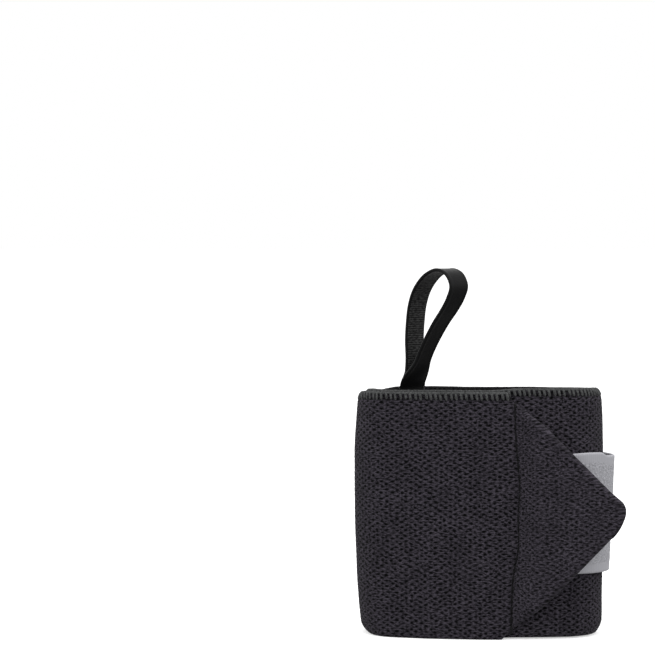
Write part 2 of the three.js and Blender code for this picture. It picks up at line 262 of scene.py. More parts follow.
# ribbedUpTo is how far round the section the ribbed face goes, in mm on the cloth map
def blackWebbing(name, ribbedUpTo):
    material, shader = newMaterial(name)
    add = partial(addNode, material)
    cloth = add("UVMap", {"uv_map": "cloth"})
    split = add("SeparateXYZ", {}, {0: cloth})
    stretched = add("VectorMath", {"operation": "MULTIPLY"},
                    {0: cloth, 1: (1 / webbing["rib"], webbing["flecks"], 1)})
    fibre = add("TexNoise", {}, {"Vector": stretched, "Scale": 1.6, "Detail": 3.0})
    turns = add("Math", {"operation": "MULTIPLY"}, {0: split.outputs[0], 1: 2 * math.pi / webbing["rib"]})
    wave = add("Math", {"operation": "SINE"}, {0: turns})
    rib = add("Math", {"operation": "MULTIPLY_ADD"}, {0: wave, 1: 0.12, 2: fibre})
    height = add("MapRange", {"interpolation_type": "SMOOTHSTEP"},
                 {"Value": rib, "From Min": 0.34, "From Max": 0.72})
    smooth = add("Math", {"operation": "GREATER_THAN"}, {0: split.outputs[1], 1: ribbedUpTo})
    ribbed = add("Mix", {"data_type": "RGBA"},
                 {"Factor": height, "A": linear(webbing["valley"]), "B": linear(webbing["ridge"])})
    colour = add("Mix", {"data_type": "RGBA"},
                 {"Factor": smooth, "A": ribbed, "B": linear(webbing["flat"])})
    relief = add("Mix", {"data_type": "FLOAT"}, {"Factor": smooth, "A": height, "B": fibre})
    bump = add("Bump", {}, {"Height": relief, "Distance": 0.15 * mm, "Strength": 0.5})
    plug(material, shader, {
        "Base Color": colour, "Normal": bump, "Roughness": 0.55, "Specular IOR Level": 0.16,
        "Sheen Weight": 0.3, "Sheen Roughness": 0.3,
    })
    return material


loopWebbing = blackWebbing("black woven elastic webbing", 4.5)
hookBacking = blackWebbing("black woven nylon tape backing", 500)    # ribbed all round

# Moulded PVC rubber: satin, with the faint grain of its mould and a slight cloudiness, both sized in mm
rubber = {"grain": 0.35, "cloud": 9, "dark": "2e2e32", "pale": "3a3b3f"}


def mouldedRubber():
    material, shader = newMaterial("moulded satin PVC rubber")
    add = partial(addNode, material)
    place = add("TexCoord").outputs["Object"]
    grain = add("TexNoise", {}, {"Vector": place, "Scale": 1 / (rubber["grain"] * mm), "Detail": 2.0})
    cloud = add("TexNoise", {}, {"Vector": place, "Scale": 1 / (rubber["cloud"] * mm), "Detail": 2.0})
    colour = add("Mix", {"data_type": "RGBA"},
                 {"Factor": cloud, "A": linear(rubber["dark"]), "B": linear(rubber["pale"])})
    rough = add("MapRange", {}, {"Value": cloud, "To Min": 0.44, "To Max": 0.6})
    bump = add("Bump", {}, {"Height": grain, "Distance": 0.03 * mm, "Strength": 0.5})
    plug(material, shader, {"Base Color": colour, "Roughness": rough, "Normal": bump})
    return material


patchRubber = mouldedRubber()
print("materials are mixed")


# Building: shells of cloth rolled from a grid, and runs of thread

# Columns go along the strip and rows round its section. The last row lies on the first.
# placeAt gives the place of a spot, and mapAt where it is on the flat cloth.
def rollShell(columns, rows, placeAt, mapAt=lambda column, row: (column, row["v"])):
    shell = bmesh.new()
    long, around = len(columns) - 1, len(rows) - 1
    bmesh.ops.create_grid(shell, x_segments=long, y_segments=around, size=0.5)
    side = max(vert.co.x for vert in shell.verts)
    clothMap = shell.loops.layers.uv.new("cloth")
    spots = {}
    for vert in shell.verts:
        column = columns[round((vert.co.x / side + 1) / 2 * long)]
        row = rows[round((vert.co.y / side + 1) / 2 * around)]
        spots[vert] = (column, row)
    for face in shell.faces:
        for loop in face.loops:
            loop[clothMap].uv = mapAt(*spots[loop.vert])
    for vert, (column, row) in spots.items():
        vert.co = toFrame(placeAt(column, row))
    closeShell(shell)
    return shell


def closeShell(shell):
    bmesh.ops.remove_doubles(shell, verts=shell.verts, dist=1e-7)
    bmesh.ops.holes_fill(shell, edges=[edge for edge in shell.edges if edge.is_boundary], sides=0)
    bmesh.ops.recalc_face_normals(shell, faces=shell.faces)


def makePiece(name, shell, material):
    mesh = bpy.data.meshes.new(name)
    shell.to_mesh(mesh)
    shell.free()
    mesh.shade_smooth()
    mesh.materials.append(material)
    return placePiece(name, mesh)


def placePiece(name, mesh):
    piece = bpy.data.objects.new(name, mesh)
    scene.collection.objects.link(piece)
    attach(piece, "root")
    return piece


# tips is the share of its thickness that a thread has at its ends
def sewThread(name, paths, thickness, material, tips=0.4):
    thread = bpy.data.curves.new(name, "CURVE")
    thread.dimensions = "3D"
    thread.bevel_depth = thickness / 2 * mm
    thread.bevel_resolution = 1
    thread.use_fill_caps = True
    for path in paths:
        spline = thread.splines.new("POLY")
        spline.points.add(len(path) - 1)
        for point, place in zip(spline.points, path):
            point.co = (*toFrame(place), 1)
        spline.points[0].radius = spline.points[-1].radius = tips
    spool = bpy.data.objects.new(name, thread)
    mesh = bpy.data.meshes.new_from_object(spool)
    bpy.data.objects.remove(spool)
    mesh.name = name
    mesh.shade_smooth()
    mesh.materials.clear()
    mesh.materials.append(material)
    placePiece(name, mesh)


def lerp(a, b, share):
    return a + (b - a) * share


def clamp(value, low=0.0, high=1.0):
    return max(low, min(high, value))


def smoothstep(value, low, high):
    share = clamp((value - low) / (high - low))
    return share * share * (3 - 2 * share)


def spaced(low, high, step):
    count = max(1, math.ceil((high - low) / step - 1e-6))
    return [lerp(low, high, i / count) for i in range(count + 1)]


# Rows round a flat strip's section: up the outer face, over the top edge, down the inner face.
# side is 1 on the outer face and -1 on the inner one, and v is the way walked round the section.
def sectionRows(outerHeights, innerHeights, low, high, rounding, edgeSteps=5):
    def edge(first, top):
        rows = []
        for i in range(1, edgeSteps):
            angle = first + math.pi * i / edgeSteps
            lift = abs(math.sin(angle)) * rounding
            z = high - rounding + lift if top else low + rounding - lift
            rows.append({"z": z, "side": math.cos(angle)})
        return rows

    rows = [{"z": z, "side": 1} for z in outerHeights]
    rows += edge(0, True)
    rows += [{"z": z, "side": -1} for z in reversed(innerHeights)]
    rows += edge(math.pi, False)
    rows.append(dict(rows[0]))
    walked = rows[0]["z"]
    for before, row in zip([rows[0], *rows], rows):
        walked += math.hypot(row["z"] - before["z"], row["side"] - before["side"])
        row["v"] = walked
    return rows


# The coil: an oval with two slightly bulging sides and two round ends, an arc each,
# walked to the left from the middle of its front
coil = {
    "wide": 82, "deep": 36, # mm over all
    "bulge": 3,             # mm that its front and rear stand out past its round ends
    "turns": 2,
    "seam": 12.2,           # mm from the front's middle to the seam, to the right
    "innerEnd": 27,         # mm that the inner end goes on past its last full turn
    "gap": 0.3,             # mm between two layers
}
band = {
    "high": knit["high"], "thick": 1.9,
    "edge": 0.7,            # mm that its edges are rounded
    # how far the cloth is drawn in by its height: the most, and shares of it by shares of the height
    "tuck": 2,
    "barrel": [(0, 1), (0.045, 0.7), (0.125, 0.45), (0.22, 0.3), (0.375, 0.12),
               (0.55, 0), (0.75, 0), (0.9, 0.2), (0.96, 0.32), (1, 0.6)],
    "tuckShares": {"front": 0.6, "left": 1.5, "rightFoot": 0.25, "rightTop": 0.9},
    "rightTurns": (40, 76), # mm up, between which the right end's share goes over from foot to top
    # the edges draw in further round the coil's ends: how far and over what height, in mm
    "corners": {"leftFoot": (1.9, 3.6), "rightFoot": (1.9, 5), "rightTop": (1, 4)},
    "top": 79.6,            # mm to the cloth's edge, which the overlock yarn covers
    "towardsTop": (60, 80), # mm up, between which the dip and the rise at the seam set in
    "dip": 1.2,             # mm that the top edge sinks behind the coil's left end
    "dipSpan": (0.2, 0.29, 0.3, 0.37),      # where it starts, is whole, wanes and ends, in turns
    "nearSeam": 0.25,       # mm that the outer turn's top edge rises towards the seam
    "nearSeamSpan": (25, 45),               # mm from the front's middle, over which that wanes
    "lift": 1.5,            # mm that the layer under the flap sits higher at its top
    "liftFoot": 0.3,        # share of the lift at its foot
    "liftComes": (0.55, 0.9),               # turns walked, between which it sets in
    "liftGoes": [(0.5, 0.93, 0.99), (0.6, 1.2, 1.6)],   # share lost, and between which turns
    "wave": 0.3,            # mm that the edges wander up and down
    "footWave": 0.4,        # share of that at the foot
    "dimple": 0.12,         # mm that the cloth wanders in and out
    "fuzz": 0.1,            # mm that its yarn stands in and out
    "fold": 3.1,            # mm that the folds reach past the seam
    "groove": (0.7, 1.1),   # mm that the cloth dips at the seam, and over what width
    "pulled": 22,           # mm from the seam, over which the seam's wandering pulls the cloth along
    "fineEnds": (14, 3),    # mm past its first turn where its relief ends, and over what length it fades
    "coarse": (1.5, 2.5),   # mm between columns from there on, and between rows of the inner face
    # how far the seam wanders to the right, in mm, by its height
    "seamCourse": [(0, -2), (11, -2), (19, -1.6), (23, -1.2), (27, -0.1), (31, 0.3), (36, 0.15), (42, 0),
                   (46, 0.5), (50, 0.6), (57, 0), (65, -0.7), (73, -1), (80, -1)],
}

endRadius = coil["deep"] / 2 - coil["bulge"]
endCentre = coil["wide"] / 2 - endRadius
sideCentre = (endCentre ** 2 - coil["bulge"] ** 2) / (2 * coil["bulge"])
sideRadius = sideCentre + coil["deep"] / 2
sideTurn = 2 * math.atan2(endCentre, sideCentre)
endTurn = math.pi - sideTurn
arcs = []
turnLength = turned = 0
for x, y, radius, turn in [(0, sideCentre, sideRadius, sideTurn / 2), (-endCentre, 0, endRadius, endTurn),
                           (0, -sideCentre, sideRadius, sideTurn), (endCentre, 0, endRadius, endTurn),
                           (0, sideCentre, sideRadius, sideTurn / 2)]:
    arcs.append({"x": x, "y": y, "radius": radius, "start": turnLength, "turned": turned})
    turnLength += radius * turn
    turned += turn

layerPitch = band["thick"] + coil["gap"]
outerEnd = -coil["seam"]
innerEnd = coil["turns"] * turnLength + coil["innerEnd"]
rearMiddle = turnLength / 2
rightEnd = 0.75 * turnLength


def arcAt(walked):
    inTurn = walked % turnLength
    arc = next(arc for arc in reversed(arcs) if arc["start"] <= inTurn)
    return arc, arc["turned"] + (inTurn - arc["start"]) / arc["radius"]


def coilPoint(walked, out, z):
    arc, angle = arcAt(walked)
    inset = layerPitch * ((walked - outerEnd) / turnLength - 0.5)
    reach = arc["radius"] - band["thick"] / 2 - inset + out
    return Vector((arc["x"] - reach * math.sin(angle), arc["y"] - reach * math.cos(angle), z))


def readTable(table, place):
    place = clamp(place, table[0][0], table[-1][0])
    for (near, first), (far, second) in zip(table, table[1:]):
        if place <= far:
            return lerp(first, second, (place - near) / (far - near))


# This table and the seam's are read at three heights and averaged, which rounds their corners
def tuckAt(z):
    return band["tuck"] * sum(readTable(band["barrel"], (z + step) / band["high"]) for step in (-1, 0, 1)) / 3


# How far the band is drawn in at a place: its left end the most, its right end the least, its corners more
def tuckedIn(walked, z):
    facing = math.sin(arcAt(walked)[1])
    shares, corners = band["tuckShares"], band["corners"]
    if facing > 0:
        endShare = shares["left"]
        corner = cornerAt(z, *corners["leftFoot"])
    else:
        endShare = lerp(shares["rightFoot"], shares["rightTop"], smoothstep(z, *band["rightTurns"]))
        corner = cornerAt(z, *corners["rightFoot"]) + cornerAt(band["high"] - z, *corners["rightTop"])
    return tuckAt(z) * lerp(shares["front"], endShare, facing ** 2) + corner * facing ** 2


def cornerAt(fromEdge, deep, high):
    return deep * max(0, 1 - max(0, fromEdge) / high) ** 2


def seamShift(z):
    return sum(readTable(band["seamCourse"], z + step) for step in (-2, 0, 2)) / 3


def grooveAt(fromSeam):
    deep, wide = band["groove"]
    return deep * (1 - smoothstep(fromSeam, 0, wide))


# The knit's relief: a lattice of shallow holes, as far apart as the material's are
def knitRelief(along, up):
    rising = along / knit["wale"] + up / (2 * knit["course"])
    falling = along / knit["wale"] - up / (2 * knit["course"])
    return knit["relief"] * (max(abs(math.sin(math.pi * rising)), abs(math.sin(math.pi * falling))) - 1)


# A smooth random number from -1 to 1 that changes over about size mm
def wander(along, up, size, seed):
    return noise.noise(Vector((along / size, up / size, seed)))


# The band's own lift, dip and waves at a place on its walk
def bandHeight(walked, z):
    turns = walked / turnLength
    lift = band["lift"] * smoothstep(turns, *band["liftComes"])
    for lost, begins, ends in band["liftGoes"]:
        lift *= 1 - lost * smoothstep(turns, begins, ends)
    lift *= lerp(band["liftFoot"], 1, smoothstep(z, band["high"] / 2, band["high"]))
    upHere = smoothstep(z, *band["towardsTop"])
    starts, whole, wanes, ends = band["dipSpan"]
    dipped = smoothstep(turns % 1, starts, whole) * (1 - smoothstep(turns % 1, wanes, ends))
    dip = band["dip"] * dipped * upHere
    near = band["nearSeam"] * (1 - smoothstep(walked, *band["nearSeamSpan"])) * upHere
    edge = abs(2 * z / band["high"] - 1) ** 3
    wave = band["wave"] * wander(walked, z / 3, size=17, seed=5) * edge
    return z + lift + near - dip + wave * (1 if z > band["high"] / 2 else band["footWave"])


def buildBand():
    half = knit["course"] / 2
    lowest, highest = math.ceil(band["edge"] / half), int((band["top"] - band["edge"]) / half)
    outer = [half * i for i in range(lowest, highest + 1)]
    coarseColumns, coarseRows = band["coarse"]
    inner = spaced(outer[0], outer[-1], coarseRows)
    rows = sectionRows(outer, inner, 0, band["top"], band["edge"], edgeSteps=6)
    for row in rows:
        row["shift"] = seamShift(row["z"])
    # the turn that shows has four columns to a wale
    fineStep = knit["wale"] / 4
    finePast, fineFade = band["fineEnds"]
    fineEnd = outerEnd + fineStep * math.ceil((turnLength + finePast) / fineStep)
    columns = [walked - outerEnd for walked in spaced(outerEnd, fineEnd, fineStep)]
    columns += [walked - outerEnd for walked in spaced(fineEnd, innerEnd, coarseColumns)[1:]]

    def pulledTo(fromSeam, row):
        # near the seam the band is folded in and the seam pulls it sideways
        shift = row["shift"] * (1 - smoothstep(fromSeam, 0, band["pulled"]))
        cut = max(0, band["fold"] - fromSeam)
        return fromSeam - shift, lerp(row["z"], band["high"] / 2, 2 * cut / band["high"])

    def mapAt(fromSeam, row):
        along, height = pulledTo(fromSeam, row)
        return along, row["v"] + row["side"] * (height - row["z"])

    def placeAt(fromSeam, row):
        walked = fromSeam + outerEnd
        z, side = row["z"], row["side"]
        along, height = pulledTo(fromSeam, row)
        out = side * band["thick"] / 2 - tuckedIn(walked, z)
        out += band["dimple"] * wander(walked, z, size=11, seed=9)
        if side > 0:
            fine = 1 - smoothstep(walked, fineEnd - fineFade, fineEnd)
            out += fine * (knitRelief(along, height) + band["fuzz"] * wander(walked, z, size=0.9, seed=15))
            out -= grooveAt(fromSeam)
        pulled = along + outerEnd
        return coilPoint(pulled, out, bandHeight(pulled, height))

    shell = rollShell(columns, rows, placeAt, mapAt)
    piece = makePiece("knitted_band", shell, knitCloth)
    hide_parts("wrap_band")
    print("band is wound:", len(columns), "by", len(rows))


# Studio: a pale floor, white surroundings and three broad soft lights
studio = {
    "floor": 60,            # m from its middle to its sides
    "aim": (0, 0, 0.05),    # m, where the lights point
    "above": 0.9,           # brightness of the surroundings overhead
    "below": 0.3,           # and of what lights the wrap from below
    "glow": 0.5,            # brightness of the floor's own light
    "lights": [
        # name, place in m, size in m, watts
        ("leftSoftbox", (-1.2, -0.9, 0.8), 0.9, 5),
        ("rightSoftbox", (1.3, -0.8, 0.8), 0.9, 5),
        ("topSoftbox", (0.1, -0.2, 1.4), 1.0, 6),
    ],
}


# The floor comes before the cloth
def buildFloor():
    sheet = bmesh.new()
    bmesh.ops.create_grid(sheet, x_segments=1, y_segments=1, size=studio["floor"])
    mesh = bpy.data.meshes.new("floor")
    sheet.to_mesh(mesh)
    sheet.free()
    floor = bpy.data.objects.new("floor", mesh)
    scene.collection.objects.link(floor)
    material, shader = newMaterial("matt white light table")
    # lit from below too, as a light table is, so that the shadow on it stays faint
    plug(material, shader, {
        "Base Color": linear("f4f4f4"), "Roughness": 1, "Specular IOR Level": 0,
        "Emission Color": (1, 1, 1, 1), "Emission Strength": studio["glow"],
    })
    mesh.materials.append(material)
    floor.visible_diffuse = floor.visible_glossy = False    # the world below it lights the wrap's underside


buildFloor()
buildBand()


strap = {
    "wide": plush["wide"], "thick": 1.3, "edge": 0.45,
    "start": 22,            # mm to the right of the front's middle, under the flap
    "end": 35,              # mm past the rear's middle
    "bow": 0.6,             # mm that it stands off at the coil's end ...
    "flare": 1.7,           # ... and that much more at its upper edge
    "pile": 0.15,           # mm that the pile stands up and down
    "pileFade": (0.5, 0.4), # mm before and past the margin's end, between which it begins
    "ground": 0.12,         # mm that its ground lies lower
    "waves": (0.1, 0.15),   # mm that it wanders in and out, and up and down
    "rises": (0.2, 0.9),    # mm that its lower and upper edge climb from the bend ...
    "risesTo": 10,          # ... to this many mm before its start
    "kink": (10, 0.9, 2.5), # where past the bend its upper edge peaks, how high and how suddenly, in mm
    "endBow": (0.9, 5),     # mm that its cut end bows out, and over what length
}
hook = {
    "wide": 36, "thick": 1, "edge": 0.4, "long": 66,
    "shows": 2.4,           # mm past the strap's cut end
}

strapLow = (band["high"] - strap["wide"]) / 2
strapStart = turnLength - strap["start"]
strapEnd = rearMiddle - strap["end"]
hookStart = strapEnd - hook["shows"]
hookEnd = hookStart + hook["long"]


def strapOut(walked, z):
    overHook = 1 - smoothstep(walked, hookEnd, rightEnd)
    bow = math.cos(math.pi / 2 * clamp((walked - rightEnd) / (turnLength / 4 - strap["start"]), -1, 1)) ** 2
    flare = strap["flare"] * (z - strapLow) / strap["wide"]
    seated = band["thick"] / 2 + coil["gap"] + strap["thick"] / 2
    return seated + (hook["thick"] + coil["gap"]) * overHook + (strap["bow"] + flare) * bow


def buildStrap():
    high = strapLow + strap["wide"]
    kinkAt, kinkHigh, kinkSudden = strap["kink"]
    peak = rightEnd + kinkAt
    endBow, endBowOver = strap["endBow"]
    inAndOut, upAndDown = strap["waves"]
    before, past = strap["pileFade"]
    outer = spaced(strapLow + strap["edge"], high - strap["edge"], 0.5)
    inner = spaced(strapLow + strap["edge"], high - strap["edge"], 2)
    rows = sectionRows(outer, inner, strapLow, high, strap["edge"])
    for row in rows:
        row["v"] -= strapLow
    columns = spaced(strapEnd, strapStart, 0.6)

    def placeAt(walked, row):
        z, side = row["z"], row["side"]
        out = side * strap["thick"] / 2
        if side > 0:
            fromEdge = min(z - strapLow, high - z)
            pile = smoothstep(fromEdge, plush["margin"] - before, plush["margin"] + past)
            out += strap["pile"] * pile * (0.1 + 0.9 * wander(walked, z, size=0.8, seed=3)) - strap["ground"]
        out += inAndOut * wander(walked, z, size=9, seed=21)
        upward = (z - strapLow) / strap["wide"]
        rise = lerp(*strap["rises"], upward) * smoothstep(walked, rightEnd, strapStart - strap["risesTo"])
        kinked = smoothstep(walked, peak - kinkSudden, peak) * (1 - smoothstep(walked, peak, strapStart))
        rise += kinkHigh * kinked * upward ** 4
        bowed = endBow * (1 - ((z - band["high"] / 2) / (strap["wide"] / 2)) ** 2)
        place = walked - bowed * (1 - smoothstep(walked, strapEnd, strapEnd + endBowOver))
        rise += upAndDown * wander(walked, 0, size=14, seed=7)
        return coilPoint(place, strapOut(walked, z) + out, z + rise)

    shell = rollShell(columns, rows, placeAt)
    piece = makePiece("loop_tape_strap", shell, loopTape)
    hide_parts("closing_strap")


def buildHookTape():
    low = (band["high"] - hook["wide"]) / 2
    high = low + hook["wide"]
    heights = spaced(low + hook["edge"], high - hook["edge"], 2)
    rows = sectionRows(heights, heights, low, high, hook["edge"])
    seated = band["thick"] / 2 + coil["gap"] + hook["thick"] / 2

    def placeAt(walked, row):
        return coilPoint(walked, seated + row["side"] * hook["thick"] / 2, row["z"])

    shell = rollShell(spaced(hookStart, hookEnd, 1.2), rows, placeAt)
    piece = makePiece("hook_tape_base", shell, hookBacking)
    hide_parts("hook_tape")


buildStrap()
buildHookTape()
print("strap is laid")


patch = {
    "long": 49, "high": 29,
    "fromEnd": 5.2,         # mm from the strap's cut end
    "raise": 0.3,           # mm that it sits above the band's middle
    "off": 0.12,            # mm that it stands off the strap
    "corner": 1.6,          # mm, the radius of its corners ...
    "cornerCuts": (0, 0.3, 0.55, 0.8),      # ... and shares of it where they are cut to bend round
    "cuts": 1.5,            # mm between the cuts that let it follow the strap
    "sharp": 28,            # degrees past which an edge isn't shaded smooth
    # inward from the edge and height over the strap, in mm: a rounded lip, a channel for the stitches,
    # a bevel and the bare panel
    "profile": [(0, 0.8), (0.12, 1.02), (0.35, 1.1), (1.25, 1.1), (1.55, 0.88), (3.2, 0.88), (3.6, 1.0),
                (5.6, 1.9), (5.9, 2.0)],
}


def buildPatch():
    plate = bmesh.new()
    bmesh.ops.create_grid(plate, x_segments=1, y_segments=1, size=0.5)
    side = max(vert.co.x for vert in plate.verts) * 2
    bmesh.ops.scale(plate, vec=(patch["long"] / side, patch["high"] / side, 1), verts=plate.verts)
    back = plate.faces[:]
    raised = bmesh.ops.extrude_face_region(plate, geom=back)["geom"]
    front = [item for item in raised if isinstance(item, bmesh.types.BMFace)]
    bmesh.ops.translate(plate, vec=(0, 0, patch["profile"][0][1]),
                        verts=[item for item in raised if isinstance(item, bmesh.types.BMVert)])
    for (near, low), (far, high) in zip(patch["profile"], patch["profile"][1:]):
        bmesh.ops.inset_region(plate, faces=front, thickness=far - near, depth=0, use_even_offset=True,
                               use_boundary=True)
        rising = {vert for face in front for vert in face.verts}
        bmesh.ops.translate(plate, vec=(0, 0, high - low), verts=list(rising))
    cornerX, cornerY = patch["long"] / 2 - patch["corner"], patch["high"] / 2 - patch["corner"]
    cuts = [(place, 0, 0) for place in spaced(-cornerX, cornerX, patch["cuts"])]
    for share in patch["cornerCuts"]:
        for way in (-1, 1):
            cuts.append((way * (cornerX + share * patch["corner"]), 0, 0))
            cuts.append((0, way * (cornerY + share * patch["corner"]), 0))
    for cut in cuts:
        bmesh.ops.bisect_plane(plate, geom=plate.verts[:] + plate.edges[:] + plate.faces[:], dist=1e-5,
                               plane_co=cut, plane_no=(0, 1, 0) if cut[1] else (1, 0, 0))
    start = strapEnd + patch["fromEnd"]
    middle = band["high"] / 2 + patch["raise"]
    for vert in plate.verts:
        # the corner squares are drawn in to quarter circles
        pastX, pastY = abs(vert.co.x) - cornerX, abs(vert.co.y) - cornerY
        if pastX > 0 and pastY > 0:
            roundX = pastX * math.sqrt(1 - 0.5 * (pastY / patch["corner"]) ** 2)
            roundY = pastY * math.sqrt(1 - 0.5 * (pastX / patch["corner"]) ** 2)
            vert.co.x = math.copysign(cornerX + roundX, vert.co.x)
            vert.co.y = math.copysign(cornerY + roundY, vert.co.y)
        walked, z = start + patch["long"] / 2 + vert.co.x, middle + vert.co.y
        out = strapOut(walked, z) + strap["thick"] / 2 + patch["off"] + vert.co.z
        vert.co = toFrame(coilPoint(walked, out, z))
    bmesh.ops.recalc_face_normals(plate, faces=plate.faces)
    piece = makePiece("moulded_patch", plate, patchRubber)
    piece.data.set_sharp_from_angle(angle=math.radians(patch["sharp"]))
    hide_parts("rubber_patch")


# Stitches that hold the patch, pressed into its channel. All in mm: in from its edge, from stitch to stitch,
# a stitch's length, the thread's thickness, and the height over the strap
patchSeam = {
    "inward": 2.4, "every": 3.2, "stitch": 2.5, "thread": 0.5, "high": 1,
    "hump": [(-0.5, -0.3), (-0.35, 0), (0, 0.06), (0.35, 0), (0.5, -0.3)],  # share of its length, and mm up
}


def sewPatch():
    halfLong, halfHigh = patch["long"] / 2 - patchSeam["inward"], patch["high"] / 2 - patchSeam["inward"]
    corners = [(-halfLong, -halfHigh), (halfLong, -halfHigh), (halfLong, halfHigh), (-halfLong, halfHigh)]
    start = strapEnd + patch["fromEnd"] + patch["long"] / 2
    paths = []
    for near, far in zip(corners, corners[1:] + corners[:1]):
        near, far = Vector(near), Vector(far)
        side = (far - near).length
        for middle in [stop + patchSeam["every"] / 2 for stop in spaced(0, side, patchSeam["every"])[:-1]]:
            path = []
            for share, rise in patchSeam["hump"]:
                spot = near.lerp(far, clamp((middle + share * patchSeam["stitch"]) / side))
                walked, z = start + spot.x, band["high"] / 2 + patch["raise"] + spot.y
                out = strapOut(walked, z) + strap["thick"] / 2 + patchSeam["high"] + rise
                path.append(coilPoint(walked, out, z))
            paths.append(path)
    sewThread("patch_stitches", paths, patchSeam["thread"], blackThread)


buildPatch()
sewPatch()
print("patch is moulded and sewn")


flap = {
    "thick": 3.9,
    "grows": 6,             # mm past the seam over which it gets that thick
    # the blunt point: its size, how much thinner it gets, and where its upper and lower edge run,
    # as a share of its length and shares of half its height
    "noseHigh": 14, "noseLong": 4.8, "noseTaper": 0.42,
    "nose": [(0, 1.17, -1), (0.2, 1.06, -0.9), (0.4, 0.94, -0.74), (0.6, 0.83, -0.54), (0.8, 0.7, -0.26),
             (0.93, 0.56, -0.02), (1, 0.4, 0.16)],
    "folds": (0.95, 1.9),   # mm that its edge is rounded, at the seam and where it is full
    "bows": (1.2, 0.5),     # mm that the upper and the lower fold bow out
    "bowsOver": 14,         # mm over which the upper one sets in
    "slack": 0.18,          # mm that its face wanders in and out
    "relief": 0.7,          # depth of its knit, which is pulled tight, against the band's
    "straightens": 10,      # mm past the seam over which it stops following the seam's wandering
    "rims": [0, 0.08, 0.25, 0.5, 0.85, 1.3, 1.9, 2.6],      # mm in from its edge, a row each
    "rows": (168, 40),      # between the rims, outside and inside
    "tip": (1.6, 1.2, 0.8, 0.5, 0.25, 0.1, 0.02, 0),        # mm before the point, a column each
    "clear": 0.08,          # mm that it starts past the seam
}


def buildFlap():
    noseStart = (band["high"] - flap["noseHigh"]) / 2
    seamX = coilPoint(outerEnd, 0, 0).x
    foldX = seamX - band["fold"]
    seatAtSeam = coilPoint(outerEnd + turnLength, band["thick"] / 2 + coil["gap"], 0)
    seatOverStrap = coilPoint(strapStart, strapOut(strapStart, 0) + strap["thick"] / 2 + coil["gap"], 0)

    def outlineAt(fromFold):
        if fromFold <= noseStart:
            edge = band["high"] / 2 - fromFold
            upperBow, lowerBow = flap["bows"]
            top = edge + upperBow * smoothstep(fromFold, 0, flap["bowsOver"])
            return top, -edge - lowerBow * math.sin(math.pi * fromFold / noseStart)
        share = (fromFold - noseStart) / flap["noseLong"]
        for (near, top, bottom), (far, topFar, bottomFar) in zip(flap["nose"], flap["nose"][1:]):
            if share <= far + 1e-9:
                part = (share - near) / (far - near)
                halfHigh = flap["noseHigh"] / 2
                return halfHigh * lerp(top, topFar, part), halfHigh * lerp(bottom, bottomFar, part)

    rims = flap["rims"]

    def faceRows(rims, steps, side):
        lower = [{"rim": rim, "end": -1, "side": side} for rim in rims]
        upper = [{"rim": rim, "end": 1, "side": side} for rim in reversed(rims)]
        return [*lower, *[{"share": i / steps, "side": side} for i in range(steps + 1)], *upper]

    outside, inside = flap["rows"]
    rows = [*faceRows(rims, outside, 1), *reversed(faceRows(rims[1:], inside, -1))]
    rows.append(rows[0])
    tip = noseStart + flap["noseLong"]
    columns = spaced(band["fold"] + flap["clear"], tip - flap["tip"][0], knit["wale"] / 4)
    columns += [tip - back for back in flap["tip"][1:]]

    def heightOf(fromFold, row):
        top, bottom = outlineAt(fromFold)
        reach = min(1, (top - bottom) / 8) * rims[-1]
        if "rim" in row:
            inward = row["rim"] / rims[-1] * reach
            return (top - inward if row["end"] > 0 else bottom + inward), inward
        z = lerp(bottom + reach, top - reach, row["share"])
        return z, min(top - z, z - bottom)

    def placeAt(fromFold, row):
        x = foldX + fromFold
        z, inward = heightOf(fromFold, row)
        grown = smoothstep(fromFold - band["fold"], 0, flap["grows"])
        full = lerp(band["thick"], flap["thick"], grown)
        overStrap = clamp((x - seatAtSeam.x) / (seatOverStrap.x - seatAtSeam.x))
        middle = lerp(seatAtSeam.y, seatOverStrap.y, overStrap) - full / 2
        rounding = lerp(*flap["folds"], grown)
        # the folds run at 45 degrees, so the way straight in from one is shorter than the way down from it
        edge = min(inward * math.sqrt(0.5), tip - fromFold)
        profile = math.sqrt(max(0, 1 - (1 - clamp(edge / rounding)) ** 2))
        along = clamp((fromFold - noseStart) / flap["noseLong"])
        full *= math.sqrt(1 - flap["noseTaper"] * along ** 2)
        out = row["side"] * profile * full / 2
        high = band["high"] / 2 + z
        if row["side"] > 0:
            fuzz = band["fuzz"] * wander(x, high, size=0.9, seed=16)
            out += (flap["relief"] * knitRelief(seamX - x, high) + fuzz) * profile
            out -= grooveAt(fromFold - band["fold"])
            out += flap["slack"] * wander(x, high, size=12, seed=31)
        x += seamShift(high) * (1 - smoothstep(fromFold - band["fold"], 0, flap["straightens"]))
        return Vector((x, middle - out + (1 - grown) * band["tuckShares"]["front"] * tuckAt(high), high))

    shell = rollShell(columns, rows, placeAt, lambda fromFold, row: (0, 0))
    # its knit runs level across it, and on round its edges
    clothMap = shell.loops.layers.uv["cloth"]
    for face in shell.faces:
        for loop in face.loops:
            spot = loop.vert.co / mm
            loop[clothMap].uv = (seamX - (spot.x - coilMiddle["x"]) + spot.y, spot.z)
    piece = makePiece("folded_flap", shell, tightCloth)
    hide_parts("end_flap")
    print("flap is folded:", len(columns), "by", len(rows))


# The seam that sews the folded end down: short stitches along its groove, in mm
seam = {
    "every": 3.3, "stitch": 2.7, "thread": 0.6, "from": 2, "to": 77.5,
    "hump": [(0, -0.35), (0.15, 0), (0.5, 0.08), (0.85, 0), (1, -0.35)],    # share of its length, and mm out
}


